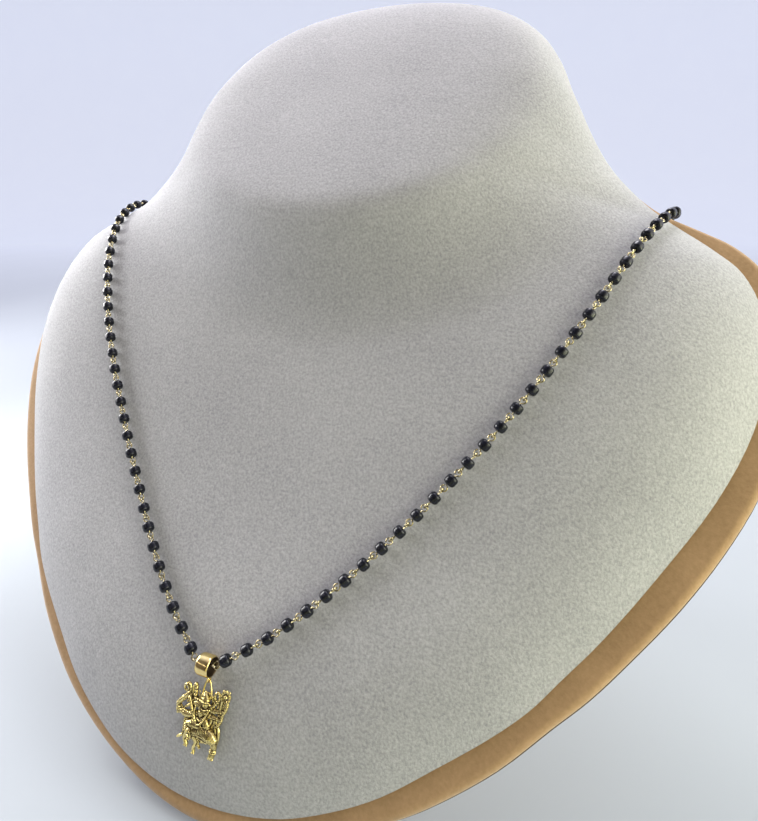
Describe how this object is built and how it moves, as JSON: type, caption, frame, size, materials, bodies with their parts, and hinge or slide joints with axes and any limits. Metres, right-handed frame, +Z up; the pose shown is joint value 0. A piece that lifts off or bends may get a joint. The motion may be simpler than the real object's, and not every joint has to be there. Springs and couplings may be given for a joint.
{
  "type": "mangalsutra on a neck bust display",
  "caption": "Black bead mangalsutra with a gold bail and a cast openwork goddess pendant, lying on a grey padded neck bust that leans on an easel leg.",
  "frame": {"origin": "centre of the bounding box at the level the bust stands on", "axes": "+Z up, +X across the bust to the viewer's right, -Y to the front where the chest faces"},
  "size_m": [0.201, 0.1374, 0.1718],
  "materials": {
    "grey_suede": "short even nap, matt",
    "tan_velvet": "tan velvet, short nap, matt",
    "black_glass": "glossy, rounded by tumbling",
    "gold_wire": "bright drawn gold wire",
    "gold_polished": "polished yellow gold",
    "gold_cast": "cast yellow gold, bright on the high spots and dull in the hollows"
  },
  "bodies": {
    "root": {"padded_form": "grey_suede", "back_board": "tan_velvet", "easel_leg": "tan_velvet", "beads": "black_glass", "eye_pins": "gold_wire", "clasp": "gold_polished", "bail": "gold_polished", "pendant": "gold_cast"}
  },
  "joints": []
}
